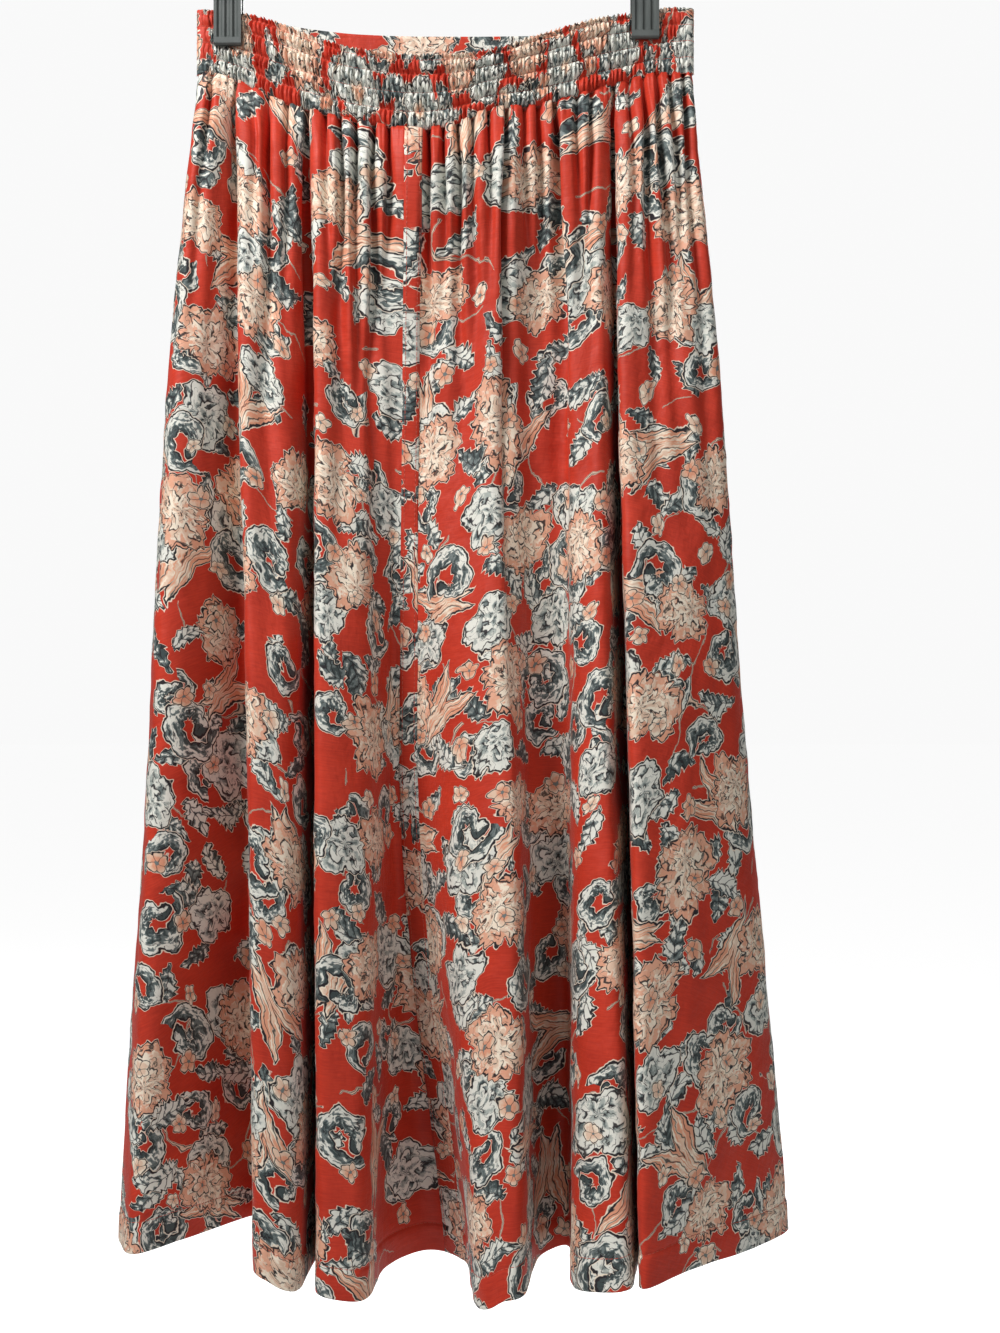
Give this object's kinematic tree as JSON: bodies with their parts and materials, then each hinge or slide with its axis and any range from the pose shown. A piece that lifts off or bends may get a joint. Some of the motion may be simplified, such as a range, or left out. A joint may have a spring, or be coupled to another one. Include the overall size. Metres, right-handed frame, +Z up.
{
  "type": "midi skirt on a clip hanger",
  "caption": "Gathered midi skirt in printed cotton with a shirred front waistband and a placket strip, hanging from a plain clip hanger.",
  "frame": {"origin": "inside top of the hook, where it bears on the rail that holds it up", "axes": "+Z up, +X across to the wearer's left as seen from the front, +Y from the front of the skirt to its back"},
  "size_m": [0.4613, 0.2178, 0.9924],
  "materials": {
    "printed_cotton": "light cotton with a slight sheen, coral red with a dense printed pattern of flowers and leaves in cream, peach and grey",
    "clip_plastic": "moulded dark grey plastic, satin",
    "hook_steel": "bright plated wire"
  },
  "bodies": {
    "root": {"skirt_front_right": "printed_cotton", "skirt_front_left": "printed_cotton", "skirt_back": "printed_cotton", "front_placket": "printed_cotton", "waistband_front": "printed_cotton", "waistband_back": "printed_cotton", "clip_right_front_jaw": "clip_plastic", "clip_right_back_jaw": "clip_plastic", "clip_left_front_jaw": "clip_plastic", "clip_left_back_jaw": "clip_plastic", "hanger_bar": "clip_plastic", "hanger_hook": "hook_steel"}
  },
  "joints": []
}
